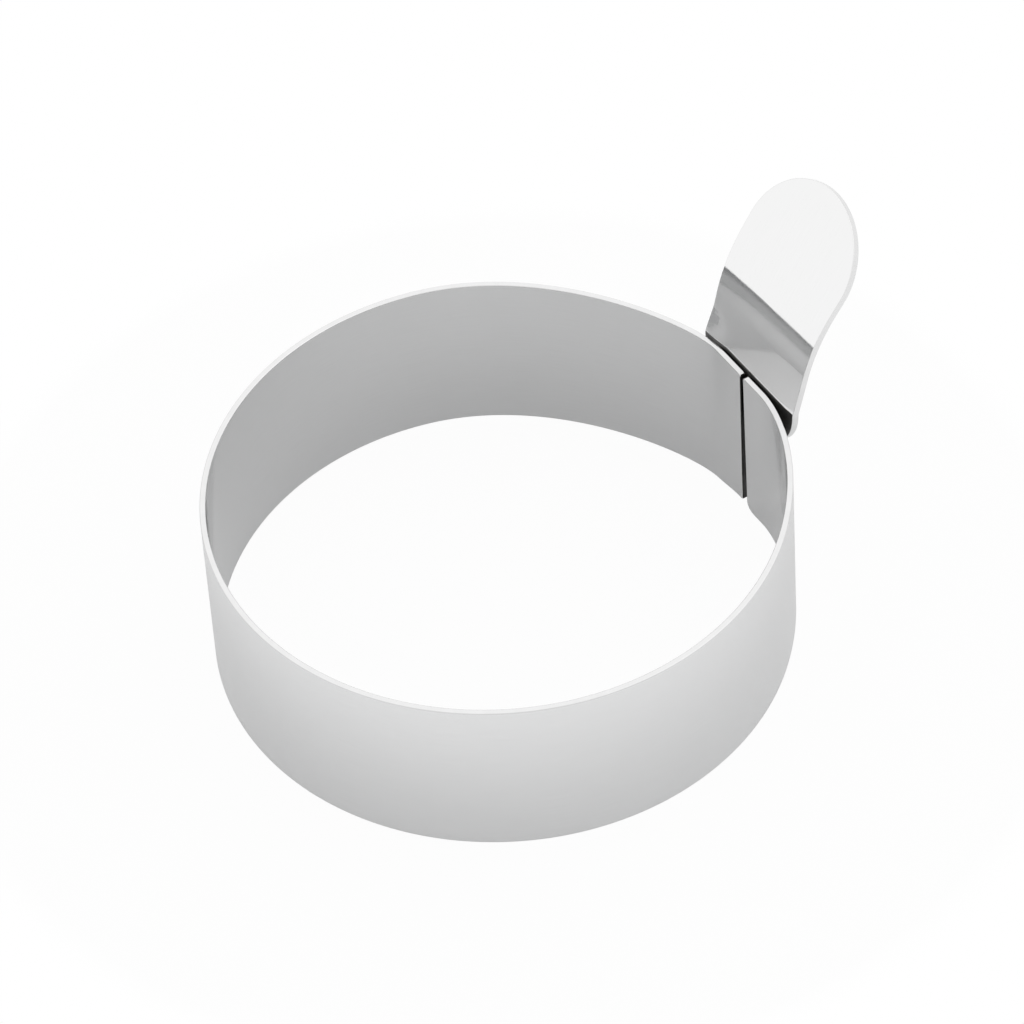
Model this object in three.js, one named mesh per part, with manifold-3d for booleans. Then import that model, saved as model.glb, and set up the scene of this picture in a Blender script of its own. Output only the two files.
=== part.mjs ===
// Egg ring in stainless steel: a strip rolled into an open band, and a pressed handle plate
// that is spot welded over the seam and holds the band's two ends together.
// Millimetres, +Z up. The ring stands on its foot at z = 0 and the handle points along +X.
// The origin is on the table, under the middle of the part's outer box.

import * as THREE from 'three';
import { mergeVertices } from 'three/addons/utils/BufferGeometryUtils.js';
import Module from 'manifold-3d';

const wasm = await Module();
wasm.setup();

const degrees = THREE.MathUtils.degToRad;

// Band: left is +Y, seen from the middle of the ring towards the handle
const ringRadius = 37.5;               // inside, the size of the cooked egg
const bandWall = 0.8;
const bandHeight = 25;
const bandEdgeBreak = 0.15;            // rim and foot are tumbled, not sharp

// Seam: the band's ends are pressed flat for the welds and butt without closing
const flatDepth = 0.15;                // the flat's inner face lies this far inside the true circle
const flatLeft = 4.6;                  // ends of the flat, from the X axis through the ring's middle
const flatRight = 5.6;
const seamOffset = 1.5;                // the seam sits to the right of that axis
const seamGapTop = 0.5;
const seamGapBottom = 0.9;
const endCorner = 0.5;                 // corners of the strip's ends
const endCornerLarge = 1.5;            // the lower right corner was clipped more

// Easing from the flat to the true circle: drawn in on the left of the seam, bulged on the right
const easeLeft = degrees(73);          // where the true circle begins, from the handle's heading
const easeRight = degrees(48);
const easeBend = 5;                    // reach of the bend beside the flat
const fullnessLeft = 1.12;             // reach at the true circle, 1 being that of a true arc
const fullnessRight = 1.07;

// Handle: flange on the band, neck and paddle, one oblong blank with round ends, folded twice
const plateSheet = 1;
const plateEdgeBreak = 0.2;
const handleOffset = 2;                // the blank's middle sits to the right of the X axis
const flangeWidth = 19.6;              // each end of the blank is a half circle of its width
const paddleWidth = 20.3;
const flangeReach = 9.8;               // from the lower fold down to the flange's lowest point
const neckLength = 10.9;               // from the lower fold to the middle of the upper bend
const paddleLength = 18.4;             // from there to the tip
const neckLean = degrees(14.7);        // from upright, outwards
const paddleLean = degrees(35.6);
const foldRadius = 1.2;                // lower fold, on its inside
const bendRadius = 26.7;               // upper bend, on its inside
const foldAboveRim = 0.4;              // the lower fold clears the rim by this much

// Spot welds: one on each end of the band, in the middle of its flat
const weldDiameter = 2.8;
const weldThickness = 0.25;            // the fused metal holds the two sheets this far apart
const weldBelowFold = 4.8;

// Finish
const steelColor = 0xc8cacc;
const satinRoughness = 0.35;           // band
const mirrorRoughness = 0.08;          // handle
const weldRoughness = 0.5;

// How finely the round forms are cut into facets
const circleFacets = 80;
const easeFacets = 16;
const foldFacets = 4;
const bendFacets = 8;
const cornerFacets = 5;
const endFacets = 15;                  // in each quarter of the blank's round ends
const weldFacets = 24;
const leastStep = 0.01;                // rows of the loft closer than this are one row

const flatInside = ringRadius - flatDepth;
const flatOutside = flatInside + bandWall;
const flangeFace = flatOutside + weldThickness;
const lowerFold = bandHeight + foldAboveRim;
const ringOutside = ringRadius + bandWall;

function asSolid(geometry) {
  geometry.deleteAttribute('normal');
  geometry.deleteAttribute('uv');
  const merged = mergeVertices(geometry);
  return new wasm.Manifold(new wasm.Mesh({
    numProp: 3,
    vertProperties: new Float32Array(merged.attributes.position.array),
    triVerts: new Uint32Array(merged.index.array),
  }));
}

function asGeometry(solid) {
  const { vertProperties, triVerts } = solid.getMesh();
  const geometry = new THREE.BufferGeometry();
  geometry.setAttribute('position', new THREE.BufferAttribute(vertProperties, 3));
  geometry.setIndex(new THREE.BufferAttribute(triVerts, 1));
  return geometry;
}

// The band's inner face seen from above, counter-clockwise, as one closed run of curves
function bandRun() {
  const onCircle = (angle) => new THREE.Vector2(ringRadius * Math.cos(angle), ringRadius * Math.sin(angle));
  const along = (angle) => new THREE.Vector2(-Math.sin(angle), Math.cos(angle));
  const trueReach = (angle) => (4 / 3) * Math.tan(angle / 4) * ringRadius;

  const leftEnd = onCircle(easeLeft);
  const leftPull = along(easeLeft).multiplyScalar(-fullnessLeft * trueReach(easeLeft)).add(leftEnd);
  const rightEnd = onCircle(-easeRight);
  const rightPull = along(-easeRight).multiplyScalar(fullnessRight * trueReach(easeRight)).add(rightEnd);

  const run = new THREE.Path();
  run.moveTo(flatInside, -flatRight);
  run.lineTo(flatInside, flatLeft);
  run.bezierCurveTo(flatInside, flatLeft + easeBend, leftPull.x, leftPull.y, leftEnd.x, leftEnd.y);
  run.absarc(0, 0, ringRadius, easeLeft, 2 * Math.PI - easeRight);
  run.bezierCurveTo(rightPull.x, rightPull.y, flatInside, -flatRight - easeBend, flatInside, -flatRight);
  return run;
}

function bandGeometry() {
  const facets = [1, easeFacets, circleFacets, easeFacets];
  const inside = [];
  const outside = [];
  bandRun().curves.forEach((curve, index) => {
    for (let step = 0; step < facets[index]; step += 1) {
      const point = curve.getPoint(step / facets[index]);
      const tangent = curve.getTangent(step / facets[index]);
      inside.push(point);
      outside.push(new THREE.Vector2(point.x + bandWall * tangent.y, point.y - bandWall * tangent.x));
    }
  });
  const outline = new THREE.Shape(outside);
  outline.holes.push(new THREE.Path(inside));
  const closedBand = new THREE.ExtrudeGeometry(outline, {
    depth: bandHeight - 2 * bandEdgeBreak,
    bevelThickness: bandEdgeBreak,
    bevelSize: bandEdgeBreak,
    bevelOffset: -bandEdgeBreak,
    bevelSegments: 1,
  });
  closedBand.translate(0, 0, bandEdgeBreak);
  return asGeometry(asSolid(closedBand).subtract(asSolid(seamGeometry())));
}

// The open seam, with the round corners of the strip's two ends, cut through the wall
function seamGeometry() {
  const topLeft = seamGapTop / 2 - seamOffset + endCorner;
  const topRight = -seamGapTop / 2 - seamOffset - endCorner;
  const bottomLeft = seamGapBottom / 2 - seamOffset + endCorner;
  const bottomRight = -seamGapBottom / 2 - seamOffset - endCornerLarge;
  const above = bandHeight + bandWall;
  const below = -bandWall;
  const seam = new THREE.Shape();
  seam.moveTo(topRight, above);
  seam.lineTo(topLeft, above);
  seam.absarc(topLeft, bandHeight - endCorner, endCorner, Math.PI / 2, Math.PI);
  seam.absarc(bottomLeft, endCorner, endCorner, Math.PI, 1.5 * Math.PI);
  seam.lineTo(bottomLeft, below);
  seam.lineTo(bottomRight, below);
  seam.absarc(bottomRight, endCornerLarge, endCornerLarge, 1.5 * Math.PI, 2 * Math.PI);
  seam.absarc(topRight, bandHeight - endCorner, endCorner, 0, Math.PI / 2);
  seam.closePath();
  const cutter = new THREE.ExtrudeGeometry(seam, {
    depth: 3 * bandWall,
    bevelEnabled: false,
    curveSegments: cornerFacets,
  });
  const [x, y, z] = [new THREE.Vector3(1, 0, 0), new THREE.Vector3(0, 1, 0), new THREE.Vector3(0, 0, 1)];
  cutter.applyMatrix4(new THREE.Matrix4().makeBasis(y, z, x));
  return cutter.translate(flatInside - bandWall, 0, 0);
}

// The face of the handle that looks at the egg, seen from the side: x outwards, y up
function handleRun() {
  const up = (lean, length) => new THREE.Vector2(length * Math.sin(lean), length * Math.cos(lean));
  const neckFoot = new THREE.Vector2(flangeFace, lowerFold);
  const neckTop = up(neckLean, neckLength).add(neckFoot);
  const tip = up(paddleLean, paddleLength).add(neckTop);

  const run = new THREE.CurvePath();
  let reached = new THREE.Vector2(flangeFace, lowerFold - flangeReach);
  const foldAt = (corner, leanBefore, leanAfter, insideRadius) => {
    const radius = insideRadius + plateSheet;
    const setback = radius * Math.tan((leanAfter - leanBefore) / 2);
    const start = up(leanBefore, -setback).add(corner);
    const outwards = new THREE.Vector2(Math.cos(leanBefore), -Math.sin(leanBefore));
    const middle = outwards.multiplyScalar(radius).add(start);
    const [from, to] = [Math.PI - leanBefore, Math.PI - leanAfter];
    run.add(new THREE.LineCurve(reached, start));
    run.add(new THREE.EllipseCurve(middle.x, middle.y, radius, radius, from, to, true));
    reached = up(leanAfter, setback).add(corner);
  };
  foldAt(neckFoot, 0, neckLean, foldRadius);
  foldAt(neckTop, neckLean, paddleLean, bendRadius);
  run.add(new THREE.LineCurve(reached, tip));
  return run;
}

// Half of the blank's width at a distance from its lower end, with straight sides and round ends
function blankHalfWidth(distance, length) {
  const [flangeRadius, paddleRadius] = [flangeWidth / 2, paddleWidth / 2];
  const share = (distance - flangeRadius) / (length - flangeRadius - paddleRadius);
  const side = THREE.MathUtils.lerp(flangeRadius, paddleRadius, THREE.MathUtils.clamp(share, 0, 1));
  const roundOff = (radius, past) => {
    const reach = THREE.MathUtils.clamp(past, 0, radius);
    return radius - Math.sqrt(radius ** 2 - reach ** 2);
  };
  const below = roundOff(flangeRadius, flangeRadius - distance);
  const above = roundOff(paddleRadius, distance - (length - paddleRadius));
  return side - below - above;
}

// Distances along the blank at which its outline or its fold turns
function blankRows(foldEnds, length) {
  const quarter = Array.from({ length: endFacets }, (_, index) => (index + 0.5) * (Math.PI / 2 / endFacets));
  const roundEnd = (width) => quarter.map((angle) => (width / 2) * (1 - Math.cos(angle)));
  const inFold = (from, to, facets) => Array.from(
    { length: facets + 1 },
    (_, index) => THREE.MathUtils.lerp(from, to, index / facets),
  );
  const rows = [
    ...roundEnd(flangeWidth),
    flangeWidth / 2,
    ...inFold(foldEnds[0], foldEnds[1], foldFacets),
    ...inFold(foldEnds[2], foldEnds[3], bendFacets),
    length - paddleWidth / 2,
    ...roundEnd(paddleWidth).map((distance) => length - distance),
  ].sort((a, b) => a - b);
  return rows.filter((distance, index) => index === 0 || distance - rows[index - 1] > leastStep);
}

// The blank, lofted along the folded run from the flange's lowest point to the tip
function handleGeometry() {
  const run = handleRun();
  const ends = run.getCurveLengths();
  const length = ends.at(-1);
  const points = [];
  const triangles = [];
  const corners = 8;
  const rows = blankRows(ends, length);
  rows.forEach((distance, row) => {
    const place = run.getPoint(distance / length);
    const tangent = run.getTangent(distance / length);
    const half = blankHalfWidth(distance, length);
    const edge = Math.min(plateEdgeBreak, half / 2);
    const inset = half - edge;
    const section = [
      [-inset, 0], [inset, 0], [half, edge], [half, plateSheet - edge],
      [inset, plateSheet], [-inset, plateSheet], [-half, plateSheet - edge], [-half, edge],
    ];
    for (const [across, outwards] of section) {
      points.push(place.x + outwards * tangent.y, across - handleOffset, place.y - outwards * tangent.x);
    }
    for (let corner = 0; row > 0 && corner < corners; corner += 1) {
      const next = (corner + 1) % corners;
      const [a, b] = [(row - 1) * corners + corner, (row - 1) * corners + next];
      const [c, d] = [row * corners + corner, row * corners + next];
      triangles.push(a, c, b, b, c, d);
    }
  });
  const last = (rows.length - 1) * corners;
  for (let corner = 1; corner < corners - 1; corner += 1) {
    triangles.push(0, corner, corner + 1);
    triangles.push(last, last + corner + 1, last + corner);
  }
  const geometry = new THREE.BufferGeometry();
  geometry.setAttribute('position', new THREE.Float32BufferAttribute(points, 3));
  geometry.setIndex(triangles);
  return geometry;
}

function weldGeometry() {
  const radius = weldDiameter / 2;
  const nugget = new THREE.CylinderGeometry(radius, radius, weldThickness, weldFacets);
  return nugget.rotateZ(Math.PI / 2);
}

function steelPiece(name, geometry, roughness) {
  geometry.computeVertexNormals();
  const steel = new THREE.MeshStandardMaterial({ color: steelColor, metalness: 1, roughness });
  const mesh = new THREE.Mesh(geometry, steel);
  mesh.name = name;
  return mesh;
}

const band = steelPiece('ring_band', bandGeometry(), satinRoughness);
const handle = steelPiece('handle', handleGeometry(), mirrorRoughness);
const eggRing = new THREE.Group();
eggRing.add(band, handle);

// Each weld is in the middle of the flat between the seam and the flat's end
const weldPlaces = { weld_left: (flatLeft - seamOffset) / 2, weld_right: (-flatRight - seamOffset) / 2 };
for (const [name, across] of Object.entries(weldPlaces)) {
  const weld = steelPiece(name, weldGeometry(), weldRoughness);
  weld.position.set(flatOutside + weldThickness / 2, across, lowerFold - weldBelowFold);
  eggRing.add(weld);
}

// The ring's axis stands back from the origin by half of the handle's reach beyond the ring
handle.geometry.computeBoundingBox();
eggRing.position.x = (ringOutside - handle.geometry.boundingBox.max.x) / 2;

export default eggRing;
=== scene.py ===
from math import cos, pi, radians, sin, tan

import bpy
from mathutils import Matrix, Vector


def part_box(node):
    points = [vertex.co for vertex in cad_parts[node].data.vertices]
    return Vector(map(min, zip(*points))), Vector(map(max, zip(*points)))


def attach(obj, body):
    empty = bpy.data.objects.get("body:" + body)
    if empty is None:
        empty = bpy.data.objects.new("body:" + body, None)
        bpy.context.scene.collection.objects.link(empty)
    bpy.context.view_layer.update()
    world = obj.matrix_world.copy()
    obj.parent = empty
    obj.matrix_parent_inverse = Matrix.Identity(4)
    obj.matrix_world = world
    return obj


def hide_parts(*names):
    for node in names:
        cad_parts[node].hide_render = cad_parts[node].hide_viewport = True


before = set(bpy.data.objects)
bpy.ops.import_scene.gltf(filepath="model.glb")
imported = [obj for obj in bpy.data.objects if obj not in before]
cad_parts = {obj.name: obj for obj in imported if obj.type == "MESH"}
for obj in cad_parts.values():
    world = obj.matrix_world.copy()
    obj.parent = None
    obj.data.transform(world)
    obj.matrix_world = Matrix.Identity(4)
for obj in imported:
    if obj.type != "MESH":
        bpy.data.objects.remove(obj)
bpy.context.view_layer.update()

mm = 0.001
bandLow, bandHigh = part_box("ring_band")
handleLow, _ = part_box("handle")
ringRadius = 37.5 * mm  # inside
bandWall = 0.8 * mm
sharpAngle = radians(40)  # edges that turn more than this are rounded
sheetUnit = 100 * mm  # one unit of a sheet's layout
pathSteps = 48  # steps in each stretch of a bending path
alongSheet = Vector((1, 0, 0))  # a blank's own directions, before it is bent
acrossSheet = Vector((0, 0, 1))
ringMiddle = Vector((bandLow.x + ringRadius + bandWall, 0, 0))
print("frame loaded, ring middle at", [round(v / mm, 2) for v in ringMiddle])


# small helpers for working as by hand

def startFresh():
    if bpy.context.object and bpy.context.object.mode != "OBJECT":
        bpy.ops.object.mode_set(mode="OBJECT")
    bpy.ops.object.select_all(action="DESELECT")


def leaveEdit():
    bpy.ops.object.mode_set(mode="OBJECT")


def pickVertices(piece, wanted):
    bpy.ops.object.mode_set(mode="EDIT")
    bpy.ops.mesh.select_mode(type="VERT")
    bpy.ops.mesh.select_all(action="DESELECT")
    bpy.ops.object.mode_set(mode="OBJECT")
    for vertex in piece.data.vertices:
        vertex.select = wanted(vertex.co)
    bpy.ops.object.mode_set(mode="EDIT")


def cutAcross(places, normal):
    for place in places:
        bpy.ops.mesh.select_all(action="SELECT")
        bpy.ops.mesh.bisect(plane_co=place * normal, plane_no=normal)


def finishWith(piece, kind, **settings):
    modifier = piece.modifiers.new(kind.lower(), kind)
    for name, value in settings.items():
        setattr(modifier, name, value)
    bpy.context.view_layer.objects.active = piece
    bpy.ops.object.modifier_apply(modifier=modifier.name)


def layOutSheet(piece, name):
    layout = piece.data.uv_layers.new(name=name)
    for loop in piece.data.loops:
        place = piece.data.vertices[loop.vertex_index].co
        layout.data[loop.index].uv = (place.x / sheetUnit, place.z / sheetUnit)


def bendPath(name, knots):
    curve = bpy.data.curves.new(name, "CURVE")
    curve.dimensions = "2D"
    curve.resolution_u = pathSteps
    spline = curve.splines.new("BEZIER")
    spline.bezier_points.add(len(knots) - 1)
    for point, (place, before, after) in zip(spline.bezier_points, knots):
        point.handle_left_type = point.handle_right_type = "FREE"
        point.co = place.to_3d()
        point.handle_left = before.to_3d()
        point.handle_right = after.to_3d()
    path = bpy.data.objects.new(name, curve)
    bpy.context.scene.collection.objects.link(path)
    bpy.context.view_layer.update()
    return path, spline.calc_length()


def straightKnots(*places):
    return [(place, place, place) for place in places]


def arcReach(angle, radius):
    return 4 / 3 * tan(angle / 4) * radius  # how far a knot's pull reaches in a true arc


def arcKnots(middle, radius, fromAngle, toAngle, pieces):
    step = (toAngle - fromAngle) / pieces
    reach = arcReach(step, radius)
    knots = []
    for index in range(pieces + 1):
        angle = fromAngle + index * step
        place = middle + radius * Vector((cos(angle), sin(angle)))
        along = Vector((-sin(angle), cos(angle))) * reach
        knots.append((place, place - along, place + along))
    return knots


# materials

def newGroup(name, inputs, outputs):
    group = bpy.data.node_groups.new(name, "ShaderNodeTree")
    for socketName, socketType, value in inputs:
        socket = group.interface.new_socket(socketName, in_out="INPUT", socket_type=socketType)
        if value is not None:
            socket.default_value = value
    for socketName, socketType in outputs:
        group.interface.new_socket(socketName, in_out="OUTPUT", socket_type=socketType)
    entry = group.nodes.new("NodeGroupInput")
    leave = group.nodes.new("NodeGroupOutput")
    return group, entry, leave


def addNode(tree, kind, **settings):
    node = tree.nodes.new(kind)
    for name, value in settings.items():
        setattr(node, name, value)
    return node


grainForm = {
    "lines": 900.0, "stretch": 60.0, "lineDetail": 3.0, "lineRoughness": 0.65,
    "hazeScale": 5.0, "hazeDetail": 4.0,
}


def makeDrawnGrainGroup():
    # fine lines left by rolling and polishing, long along the sheet and close across it
    inputs = [
        ("Layout", "NodeSocketVector", None),
        ("Lines", "NodeSocketFloat", grainForm["lines"]),
        ("Stretch", "NodeSocketFloat", grainForm["stretch"]),
    ]
    outputs = [("Lines", "NodeSocketFloat"), ("Haze", "NodeSocketFloat")]
    group, entry, leave = newGroup("drawnGrain", inputs, outputs)
    split = addNode(group, "ShaderNodeSeparateXYZ")
    group.links.new(entry.outputs["Layout"], split.inputs[0])
    squeeze = addNode(group, "ShaderNodeMath", operation="DIVIDE")
    group.links.new(split.outputs["X"], squeeze.inputs[0])
    group.links.new(entry.outputs["Stretch"], squeeze.inputs[1])
    join = addNode(group, "ShaderNodeCombineXYZ")
    group.links.new(squeeze.outputs[0], join.inputs["X"])
    group.links.new(split.outputs["Y"], join.inputs["Y"])
    lines = addNode(group, "ShaderNodeTexNoise")
    lines.inputs["Detail"].default_value = grainForm["lineDetail"]
    lines.inputs["Roughness"].default_value = grainForm["lineRoughness"]
    group.links.new(join.outputs[0], lines.inputs["Vector"])
    group.links.new(entry.outputs["Lines"], lines.inputs["Scale"])
    haze = addNode(group, "ShaderNodeTexNoise")
    haze.inputs["Scale"].default_value = grainForm["hazeScale"]
    haze.inputs["Detail"].default_value = grainForm["hazeDetail"]
    group.links.new(entry.outputs["Layout"], haze.inputs["Vector"])
    group.links.new(lines.outputs["Fac"], leave.inputs["Lines"])
    group.links.new(haze.outputs["Fac"], leave.inputs["Haze"])
    return group


drawnGrain = makeDrawnGrainGroup()
acrossGrain = 0.25  # a quarter turn: light spreads across the drawn lines

# partly painted shade: the inner face's steel tone is kept a shade darker than the outer face's, painting
# in the shade inside the ring; its smoother, more directional polish is the finish's own
insideShadedFinish = {
    "dark": (0.74, 0.743, 0.746, 1), "light": (0.82, 0.822, 0.824, 1),
    "roughness": (0.05, 0.09), "lines": 900.0, "stretch": 60.0,
    "lineHeight": 0.003 * mm, "anisotropy": 0.8,
}
outsideFinish = {
    "dark": (0.79, 0.793, 0.796, 1), "light": (0.87, 0.872, 0.874, 1),
    "roughness": (0.10, 0.16), "lines": 900.0, "stretch": 60.0,
    "lineHeight": 0.003 * mm, "anisotropy": 0.4,
}
handleFinish = {
    "dark": (0.88, 0.88, 0.88, 1), "light": (0.93, 0.93, 0.93, 1),
    "roughness": (0.03, 0.06), "lines": 700.0, "stretch": 25.0,
    "lineHeight": 0.001 * mm, "anisotropy": 0.0,
}
edgeFinish = {
    "dark": (0.64, 0.64, 0.64, 1), "light": (0.72, 0.72, 0.72, 1),
    "roughness": (0.12, 0.2), "lines": 400.0, "stretch": 10.0,
    "lineHeight": 0.004 * mm, "anisotropy": 0.0,
}
handleEdgeFinish = {
    "dark": (0.74, 0.74, 0.74, 1), "light": (0.82, 0.82, 0.82, 1),
    "roughness": (0.18, 0.28), "lines": 400.0, "stretch": 10.0,
    "lineHeight": 0.004 * mm, "anisotropy": 0.0,
}
foldShadeFinish = {  # painted shade: near-black steel on the flange face and the fold, for the shade in the gap between handle and band
    "dark": (0.10, 0.10, 0.10, 1), "light": (0.18, 0.175, 0.17, 1),
    "roughness": (0.4, 0.55), "lines": 300.0, "stretch": 4.0,
    "lineHeight": 0.006 * mm, "anisotropy": 0.0,
}
# painted shade: the strip's sheared ends and the corners beside them are near black, for the shade in the
# seam gap
seamShadeFinish = {
    "dark": (0.03, 0.03, 0.03, 1), "light": (0.06, 0.06, 0.06, 1),
    "roughness": (0.45, 0.6), "lines": 300.0, "stretch": 0.2,
    "lineHeight": 0.01 * mm, "anisotropy": 0.0,
}


def steelMaterial(name, finish, layoutName):
    material = bpy.data.materials.new(name)
    material.use_nodes = True
    tree = material.node_tree
    steel = tree.nodes["Principled BSDF"]
    steel.inputs["Metallic"].default_value = 1.0
    steel.inputs["Anisotropic"].default_value = finish["anisotropy"]
    steel.inputs["Anisotropic Rotation"].default_value = acrossGrain
    layout = addNode(tree, "ShaderNodeUVMap", uv_map=layoutName)
    grain = addNode(tree, "ShaderNodeGroup", node_tree=drawnGrain)
    grain.inputs["Lines"].default_value = finish["lines"]
    grain.inputs["Stretch"].default_value = finish["stretch"]
    tree.links.new(layout.outputs["UV"], grain.inputs["Layout"])
    tone = addNode(tree, "ShaderNodeMix", data_type="RGBA")
    tone.inputs["A"].default_value = finish["dark"]
    tone.inputs["B"].default_value = finish["light"]
    tree.links.new(grain.outputs["Lines"], tone.inputs["Factor"])
    tree.links.new(tone.outputs["Result"], steel.inputs["Base Color"])
    polish = addNode(tree, "ShaderNodeMapRange")
    smoothest, roughest = finish["roughness"]
    polish.inputs["To Min"].default_value = smoothest
    polish.inputs["To Max"].default_value = roughest
    tree.links.new(grain.outputs["Haze"], polish.inputs["Value"])
    tree.links.new(polish.outputs["Result"], steel.inputs["Roughness"])
    relief = addNode(tree, "ShaderNodeBump")
    relief.inputs["Distance"].default_value = finish["lineHeight"]
    tree.links.new(grain.outputs["Lines"], relief.inputs["Height"])
    tree.links.new(relief.outputs["Normal"], steel.inputs["Normal"])
    if finish["anisotropy"] > 0:
        along = addNode(tree, "ShaderNodeTangent", direction_type="UV_MAP", uv_map=layoutName)
        tree.links.new(along.outputs["Tangent"], steel.inputs["Tangent"])
    return material


# the rolled band

band = {
    "flatDepth": 0.15 * mm, "flatLeft": 4.6 * mm, "flatRight": 5.6 * mm,  # ends pressed flat for the welds
    "seamOffset": 1.5 * mm, "gapTop": 0.5 * mm, "gapBottom": 0.9 * mm,
    "corner": 0.5 * mm, "cornerLarge": 1.5 * mm, "cornerSteps": 6,
    "easeLeft": radians(73), "easeRight": radians(48),  # where it leaves the circle
    "easeBend": 5 * mm, "fullnessLeft": 1.12, "fullnessRight": 1.07,  # how it eases into the flats
    "columnStep": 0.5 * mm, "rows": 30, "arcPieces": 6,
    "edgeRound": 0.3 * mm, "edgeSteps": 4,
    "endTurn": 0.7,  # rim faces that look this much along the strip are its sheared ends
    "seamReach": 1.1 * mm, "seamTop": 24.6 * mm,  # the ends' rounded corners, which get the same painted seam shade as the ends
    "splay": (0.4 * mm, 0.55 * mm, 0),  # the left end's foot is bent out and back from the seam
    "splayReach": 6 * mm, "splayHold": 0.7 * mm,
}


def bandKnots():
    flatInside = ringRadius - band["flatDepth"]
    seamPlace = Vector((flatInside, -band["seamOffset"]))
    leftBend = Vector((flatInside, band["flatLeft"]))
    rightBend = Vector((flatInside, -band["flatRight"]))
    bend = Vector((0, band["easeBend"]))
    arcEnd = 2 * pi - band["easeRight"]
    knots = arcKnots(Vector((0, 0)), ringRadius, band["easeLeft"], arcEnd, band["arcPieces"])

    # past the arc's ends the band eases into the flats, fuller than a true arc
    place, before, after = knots[0]
    pull = (before - place).normalized() * band["fullnessLeft"] * arcReach(band["easeLeft"], ringRadius)
    knots[0] = (place, place + pull, after)
    place, before, after = knots[-1]
    pull = (after - place).normalized() * band["fullnessRight"] * arcReach(band["easeRight"], ringRadius)
    knots[-1] = (place, before, place + pull)
    return [
        *straightKnots(seamPlace),
        (leftBend, leftBend, leftBend + bend),
        *knots,
        (rightBend, rightBend - bend, rightBend),
        *straightKnots(seamPlace),
    ]


def makeBand():
    startFresh()
    height = bandHigh.z - bandLow.z
    path, length = bendPath("bandPath", bandKnots())
    bpy.ops.mesh.primitive_plane_add(size=1, location=(length / 2, 0, height / 2), rotation=(pi / 2, 0, 0))
    strip = bpy.context.object
    strip.name = "rolled_band"
    strip.scale = (length, height, 1)
    bpy.ops.object.transform_apply()

    # the strip's ends lean a little, so the seam is wider at the foot
    middle, half = length / 2, height / 2
    ends = [
        (lambda co: co.x < middle and co.z > half, band["gapTop"] / 2, band["corner"]),
        (lambda co: co.x < middle and co.z < half, band["gapBottom"] / 2, band["corner"]),
        (lambda co: co.x > middle and co.z > half, -band["gapTop"] / 2, band["corner"]),
        (lambda co: co.x > middle and co.z < half, -band["gapBottom"] / 2, band["cornerLarge"]),
    ]
    for wanted, shift, _ in ends:
        pickVertices(strip, wanted)
        bpy.ops.transform.translate(value=(shift, 0, 0))
    for wanted, _, corner in ends:
        pickVertices(strip, wanted)
        bpy.ops.mesh.bevel(offset=corner, segments=band["cornerSteps"], affect="VERTICES")
    columns = int(length / band["columnStep"])
    cutAcross([length * (index + 0.5) / columns for index in range(columns)], alongSheet)
    cutAcross([height * index / band["rows"] for index in range(1, band["rows"])], acrossSheet)
    leaveEdit()
    layOutSheet(strip, "stripLayout")

    finishes = {
        "bandOutsideSteel": outsideFinish,
        "tumbledBandEdge": edgeFinish,
        "bandInsideShadedSteel": insideShadedFinish,
        "paintedSeamShade": seamShadeFinish,
    }
    for finishName, finish in finishes.items():
        strip.data.materials.append(steelMaterial(finishName, finish, "stripLayout"))
    _, edgeSlot, insideSlot, seamShadeSlot = range(len(finishes))
    finishWith(strip, "SOLIDIFY", thickness=bandWall, offset=1,
               material_offset=insideSlot, material_offset_rim=edgeSlot)
    # the sheared end faces get the painted seam shade
    for face in strip.data.polygons:
        if face.material_index == edgeSlot and abs(face.normal.x) > band["endTurn"]:
            face.material_index = seamShadeSlot
    finishWith(strip, "CURVE", object=path, deform_axis="POS_X")
    bpy.data.objects.remove(path)
    strip.data.transform(Matrix.Translation(ringMiddle))
    leftEnd = band["gapBottom"] / 2 - band["seamOffset"]
    hold = band["splayHold"]
    pickVertices(strip, lambda co: co.x > 0 and co.z < hold and leftEnd - hold / 2 < co.y < leftEnd + hold)
    bpy.ops.transform.translate(value=band["splay"],
                                use_proportional_edit=True, use_proportional_connected=True,
                                proportional_edit_falloff="SMOOTH", proportional_size=band["splayReach"])
    leaveEdit()
    finishWith(strip, "BEVEL", width=band["edgeRound"], segments=band["edgeSteps"],
               limit_method="ANGLE", angle_limit=sharpAngle, material=edgeSlot, harden_normals=True)
    # the rounded corners beside the seam get the painted seam shade too
    for face in strip.data.polygons:
        inSeam = face.center.x > 0 and abs(face.center.y + band["seamOffset"]) < band["seamReach"]
        if face.material_index == edgeSlot and inSeam and face.center.z < band["seamTop"]:
            face.material_index = seamShadeSlot
    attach(strip, "root")
    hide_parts("ring_band")
    print("band rolled,", len(strip.data.polygons), "faces")


makeBand()


# the pressed handle

handle = {
    "sheet": 1.0 * mm, "offset": 2.0 * mm, "flangeWidth": 19.6 * mm, "paddleWidth": 20.3 * mm,
    "neckLength": 11.65 * mm, "paddleLength": 17.65 * mm,
    "neckLean": radians(14.7), "paddleLean": radians(36.55),
    "foldRadius": 1.2 * mm, "bendRadius": 26.7 * mm, "foldHeight": 25.4 * mm,
    "outlineSteps": 128, "foldStep": 0.12 * mm, "bendStep": 0.15 * mm,
    "edgeRound": 0.22 * mm, "edgeSteps": 3,
    "pathSpare": 2 * mm,  # the bending path runs past the blank at both ends
    "foldShadeShare": 0.7,  # how much of the fold gets the painted shade
    "curlShift": 0.5 * mm, "curlReach": 4.5 * mm,  # the flange's left end, pressed to the round band
    "curlHold": 0.8 * mm, "curlDepth": 5 * mm, "curlStep": 0.6 * mm, "curlSpan": 6 * mm,
}


def upAlong(lean, length):
    return Vector((length * sin(lean), length * cos(lean)))


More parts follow.
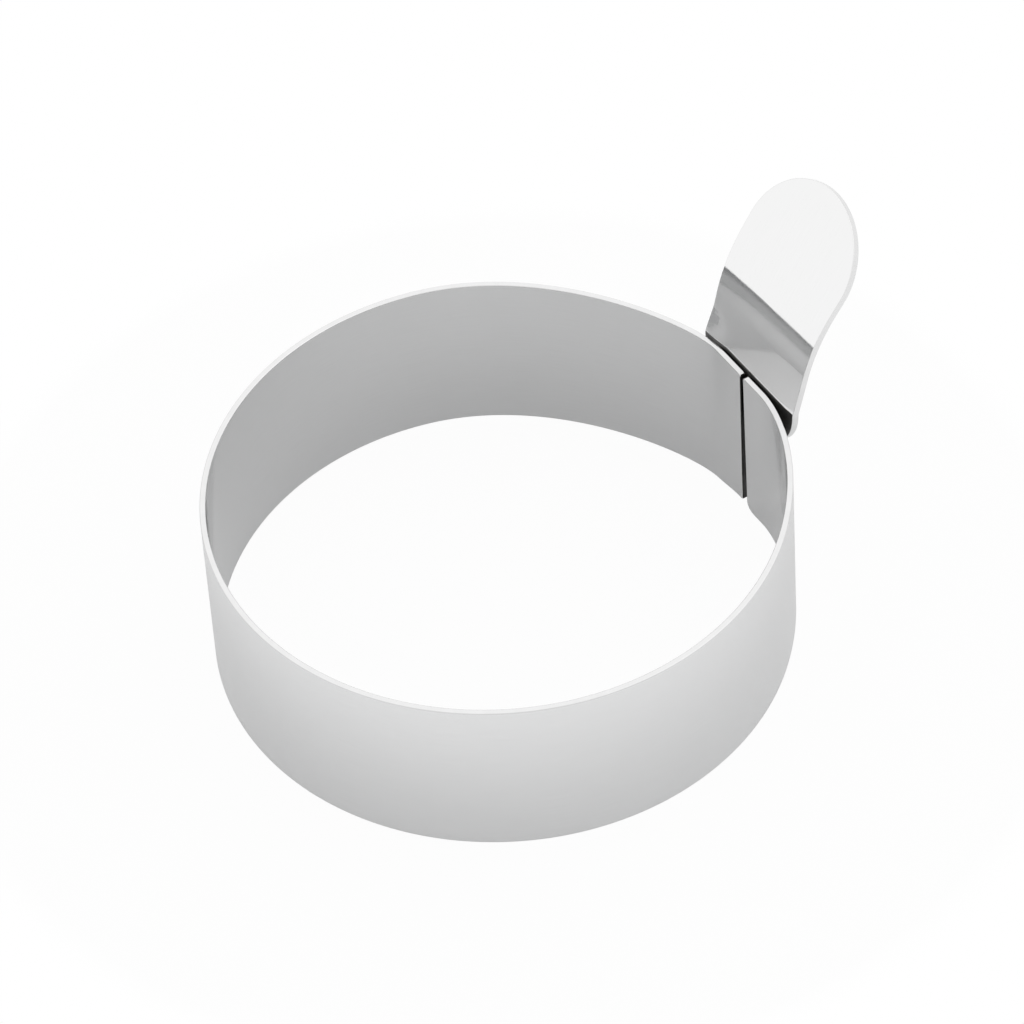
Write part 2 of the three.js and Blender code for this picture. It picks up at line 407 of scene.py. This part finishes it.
def foldKnots(corner, leanBefore, leanAfter, insideRadius):
    radius = insideRadius + handle["sheet"]
    start = corner - upAlong(leanBefore, radius * tan((leanAfter - leanBefore) / 2))
    middle = start + Vector((cos(leanBefore), -sin(leanBefore))) * radius
    return arcKnots(middle, radius, pi - leanBefore, pi - leanAfter, 1)


def withStraightEnds(knots):
    (start, _, startReach), (end, endReach, _) = knots
    return [(start, start, startReach), (end, endReach, end)]


def handleKnots():
    flangeFace = handleLow.x - ringMiddle.x
    neckFoot = Vector((flangeFace, handle["foldHeight"]))
    neckTop = neckFoot + upAlong(handle["neckLean"], handle["neckLength"])
    tip = neckTop + upAlong(handle["paddleLean"], handle["paddleLength"])
    fold = foldKnots(neckFoot, 0, handle["neckLean"], handle["foldRadius"])
    bend = foldKnots(neckTop, handle["neckLean"], handle["paddleLean"], handle["bendRadius"])
    pathStart = Vector((flangeFace, handleLow.z - handle["pathSpare"]))
    pathEnd = tip + upAlong(handle["paddleLean"], handle["pathSpare"])
    return [
        *straightKnots(pathStart),
        *withStraightEnds(fold),
        *withStraightEnds(bend),
        *straightKnots(pathEnd),
    ]


def makeHandle():
    startFresh()
    knots = handleKnots()
    path, pathLength = bendPath("handlePath", knots)
    flangeRadius, paddleRadius = handle["flangeWidth"] / 2, handle["paddleWidth"] / 2
    flangeMiddle = handle["pathSpare"] + flangeRadius
    paddleMiddle = pathLength - handle["pathSpare"] - paddleRadius
    bpy.ops.mesh.primitive_circle_add(vertices=handle["outlineSteps"], radius=flangeRadius,
                                      fill_type="NGON", location=(flangeMiddle, 0, 0),
                                      rotation=(pi / 2, 0, 0))
    blank = bpy.context.object
    blank.name = "pressed_handle"
    bpy.ops.object.transform_apply()

    # half of the disc is drawn out to the tip, a little wider than the flange
    pickVertices(blank, lambda co: co.x > flangeMiddle + handle["foldStep"])
    bpy.ops.transform.resize(value=(paddleRadius / flangeRadius,) * 3,
                             center_override=(flangeMiddle, 0, 0))
    bpy.ops.transform.translate(value=(paddleMiddle - flangeMiddle, 0, 0))

    # the fold and the bend get close cuts, at their places along the flat blank
    pathStart, foldFrom, foldTo, bendFrom, _, _ = [place for place, _, _ in knots]
    foldStart = (foldFrom - pathStart).length
    foldLength = (handle["foldRadius"] + handle["sheet"]) * handle["neckLean"]
    bendStart = foldStart + foldLength + (bendFrom - foldTo).length
    bendLength = (handle["bendRadius"] + handle["sheet"]) * (handle["paddleLean"] - handle["neckLean"])
    rounds = [(foldStart, foldLength, handle["foldStep"]), (bendStart, bendLength, handle["bendStep"])]
    for start, stretch, step in rounds:
        count = round(stretch / step)
        cutAcross([start + stretch * index / count for index in range(count + 1)], alongSheet)

    # more cuts below and above the fold and at the left side, for the curl
    curlSteps = int(handle["curlSpan"] / handle["curlStep"])
    curlCuts = [handle["curlStep"] * index for index in range(1, curlSteps)]
    cutAcross([foldStart - cut for cut in curlCuts], alongSheet)
    cutAcross([foldStart + foldLength + cut for cut in curlCuts], alongSheet)
    cutAcross([cut - flangeRadius for cut in curlCuts], acrossSheet)
    leaveEdit()
    layOutSheet(blank, "blankLayout")

    finishes = {
        "mirrorHandleSteel": handleFinish,
        "tumbledHandleEdge": handleEdgeFinish,
        "paintedFoldShade": foldShadeFinish,
    }
    for finishName, finish in finishes.items():
        blank.data.materials.append(steelMaterial(finishName, finish, "blankLayout"))
    _, edgeSlot, foldShadeSlot = range(len(finishes))
    finishWith(blank, "SOLIDIFY", thickness=handle["sheet"], offset=1, material_offset_rim=edgeSlot)
    # the flange's front face and most of the fold get the near-black painted shade
    shadeEnd = foldStart + foldLength * handle["foldShadeShare"]
    for face in blank.data.polygons:
        onFront = abs(face.center.y) < handle["sheet"] / 4
        if face.center.x < shadeEnd and onFront:
            face.material_index = foldShadeSlot
    finishWith(blank, "CURVE", object=path, deform_axis="POS_X")
    bpy.data.objects.remove(path)
    blank.data.transform(Matrix.Rotation(pi / 2, 4, "X"))
    blank.data.transform(Matrix.Translation(ringMiddle + Vector((0, -handle["offset"], 0))))
    curlSide = flangeRadius - handle["offset"] - handle["curlHold"]
    curlTop = handle["foldHeight"]
    pickVertices(blank, lambda co: co.y > curlSide and curlTop - handle["curlDepth"] < co.z < curlTop)
    bpy.ops.transform.translate(value=(-handle["curlShift"], 0, 0), use_proportional_edit=True,
                                proportional_edit_falloff="SMOOTH", proportional_size=handle["curlReach"])
    leaveEdit()
    finishWith(blank, "BEVEL", width=handle["edgeRound"], segments=handle["edgeSteps"],
               limit_method="ANGLE", angle_limit=sharpAngle, material=edgeSlot, harden_normals=True)
    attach(blank, "root")
    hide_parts("handle")
    print("handle pressed,", len(blank.data.polygons), "faces")


makeHandle()


# the welds stay as the frame gives them, with a fused-metal finish

weldFinish = {
    "dark": (0.36, 0.34, 0.32, 1), "light": (0.58, 0.57, 0.56, 1),
    "roughness": (0.35, 0.6), "mottleScale": 900.0,
}


def weldMaterial():
    material = bpy.data.materials.new("fusedWeldSteel")
    material.use_nodes = True
    tree = material.node_tree
    steel = tree.nodes["Principled BSDF"]
    steel.inputs["Metallic"].default_value = 1.0
    place = addNode(tree, "ShaderNodeTexCoord")
    mottle = addNode(tree, "ShaderNodeTexNoise")
    mottle.inputs["Scale"].default_value = weldFinish["mottleScale"]
    tree.links.new(place.outputs["Object"], mottle.inputs["Vector"])
    tone = addNode(tree, "ShaderNodeMix", data_type="RGBA")
    tone.inputs["A"].default_value = weldFinish["dark"]
    tone.inputs["B"].default_value = weldFinish["light"]
    tree.links.new(mottle.outputs["Fac"], tone.inputs["Factor"])
    tree.links.new(tone.outputs["Result"], steel.inputs["Base Color"])
    smoothest, roughest = weldFinish["roughness"]
    rough = addNode(tree, "ShaderNodeMapRange")
    rough.inputs["To Min"].default_value = smoothest
    rough.inputs["To Max"].default_value = roughest
    tree.links.new(mottle.outputs["Fac"], rough.inputs["Value"])
    tree.links.new(rough.outputs["Result"], steel.inputs["Roughness"])
    return material


fusedWeldSteel = weldMaterial()
for name in ("weld_left", "weld_right"):
    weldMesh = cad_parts[name].data
    weldMesh.materials.clear()
    weldMesh.materials.append(fusedWeldSteel)
print("welds finished")


# table, light and camera

stage = {
    "floorSize": 6.0, "floorColor": (0.8, 0.8, 0.8, 1), "floorRoughness": 0.9, "whiteShare": 0.95,
    "whiteFrom": (0.037, 0.08),  # the table turns white over these distances from the ring's middle
    "worldColor": (1, 1, 1, 1), "worldFill": 0.8, "worldSeen": 1.0, "boxSize": 1.6,
    "boxes": {  # place on the photograph's right, depth and up, and power in watts
        "leftSoftbox": ((-0.9, 0, 1.0), 0.8),
        "rightSoftbox": ((0.9, 0, 1.0), 2.6),
        "backSoftbox": ((0, 0.9, 1.0), 2.2),
    },
}

camera = {
    "distance": 852.0 * mm, "azimuth": -29.8, "elevation": 48.06,
    "yaw": -0.133, "pitch": 0.945, "roll": 4.05,  # degrees off the line to the ring's middle
    "lens": 227.05, "sensor": 36.0,
}


def combine(tree, operation, first, second):
    node = addNode(tree, "ShaderNodeMath", operation=operation)
    for socket, value in zip(node.inputs, (first, second)):
        if isinstance(value, float):
            socket.default_value = value
        else:
            tree.links.new(value, socket)
    return node.outputs[0]


def seenRays(tree):
    rays = addNode(tree, "ShaderNodeLightPath")
    direct = combine(tree, "MAXIMUM", rays.outputs["Is Camera Ray"], rays.outputs["Is Transmission Ray"])
    return direct, rays.outputs["Is Glossy Ray"]


def makeFloor():
    startFresh()
    bpy.ops.mesh.primitive_plane_add(size=stage["floorSize"], location=(0, 0, 0))
    floor = bpy.context.object
    floor.name = "pale_table"
    material = bpy.data.materials.new("paleTable")
    material.use_nodes = True
    tree = material.node_tree
    matt = tree.nodes["Principled BSDF"]
    matt.inputs["Base Color"].default_value = stage["floorColor"]
    matt.inputs["Roughness"].default_value = stage["floorRoughness"]
    matt.inputs["Specular IOR Level"].default_value = 0.0
    white = addNode(tree, "ShaderNodeEmission")

    # the table is seen nearly white, and is mirrored in the steel as white only away from the ring
    place = addNode(tree, "ShaderNodeTexCoord")
    reach = addNode(tree, "ShaderNodeVectorMath", operation="DISTANCE")
    reach.inputs[1].default_value = ringMiddle
    tree.links.new(place.outputs["Object"], reach.inputs[0])
    whiteStart, whiteEnd = stage["whiteFrom"]
    away = addNode(tree, "ShaderNodeMapRange", interpolation_type="SMOOTHSTEP")
    away.inputs["From Min"].default_value = whiteStart
    away.inputs["From Max"].default_value = whiteEnd
    tree.links.new(reach.outputs["Value"], away.inputs["Value"])
    direct, mirrored = seenRays(tree)
    share = combine(tree, "MAXIMUM", away.outputs["Result"], stage["whiteShare"])
    seenWhite = combine(tree, "MULTIPLY", direct, share)
    mirroredWhite = combine(tree, "MULTIPLY", mirrored, away.outputs["Result"])
    mix = addNode(tree, "ShaderNodeMixShader")
    tree.links.new(combine(tree, "MAXIMUM", seenWhite, mirroredWhite), mix.inputs["Fac"])
    tree.links.new(matt.outputs[0], mix.inputs[1])
    tree.links.new(white.outputs[0], mix.inputs[2])
    tree.links.new(mix.outputs[0], tree.nodes["Material Output"].inputs["Surface"])
    floor.data.materials.append(material)


def makeWorld():
    world = bpy.data.worlds.new("whiteStudio")
    world.use_nodes = True
    bpy.context.scene.world = world
    tree = world.node_tree
    sky = tree.nodes["Background"]
    sky.inputs["Color"].default_value = stage["worldColor"]
    strength = addNode(tree, "ShaderNodeMapRange")
    strength.inputs["To Min"].default_value = stage["worldFill"]
    strength.inputs["To Max"].default_value = stage["worldSeen"]
    tree.links.new(combine(tree, "MAXIMUM", *seenRays(tree)), strength.inputs["Value"])
    tree.links.new(strength.outputs["Result"], sky.inputs["Strength"])


def photoAxes():
    return Matrix.Rotation(radians(camera["azimuth"]), 3, "Z")  # the photograph's right, depth and up


def addSoftbox(name, place, power, size):
    lamp = bpy.data.lights.new(name, "AREA")
    lamp.shape = "SQUARE"
    lamp.size = size
    lamp.energy = power
    box = bpy.data.objects.new(name, lamp)
    bpy.context.scene.collection.objects.link(box)
    box.location = photoAxes() @ Vector(place) + ringMiddle
    box.rotation_euler = (ringMiddle - box.location).to_track_quat("-Z", "Y").to_euler()


def makeCamera():
    data = bpy.data.cameras.new("photoCamera")
    data.lens = camera["lens"]
    data.sensor_width = camera["sensor"]
    eye = bpy.data.objects.new("photoCamera", data)
    bpy.context.scene.collection.objects.link(eye)
    lift = radians(camera["elevation"])
    back = photoAxes() @ Vector((0, -cos(lift), sin(lift)))
    forward = -back
    right = forward.cross(Vector((0, 0, 1))).normalized()
    up = right.cross(forward)
    yaw = Matrix.Rotation(radians(camera["yaw"]), 3, up)
    forward, right = yaw @ forward, yaw @ right
    pitch = Matrix.Rotation(radians(camera["pitch"]), 3, right)
    forward, up = pitch @ forward, pitch @ up
    roll = Matrix.Rotation(radians(camera["roll"]), 3, forward)
    right, up = roll @ right, roll @ up
    axes = Matrix((right, up, -forward)).transposed().to_4x4()
    eye.matrix_world = Matrix.Translation(ringMiddle + back * camera["distance"]) @ axes
    bpy.context.scene.camera = eye


makeFloor()
makeWorld()
for boxName, (boxPlace, boxPower) in stage["boxes"].items():
    addSoftbox(boxName, boxPlace, boxPower, stage["boxSize"])
makeCamera()
bpy.context.scene.view_settings.view_transform = "Standard"
print("stage set")
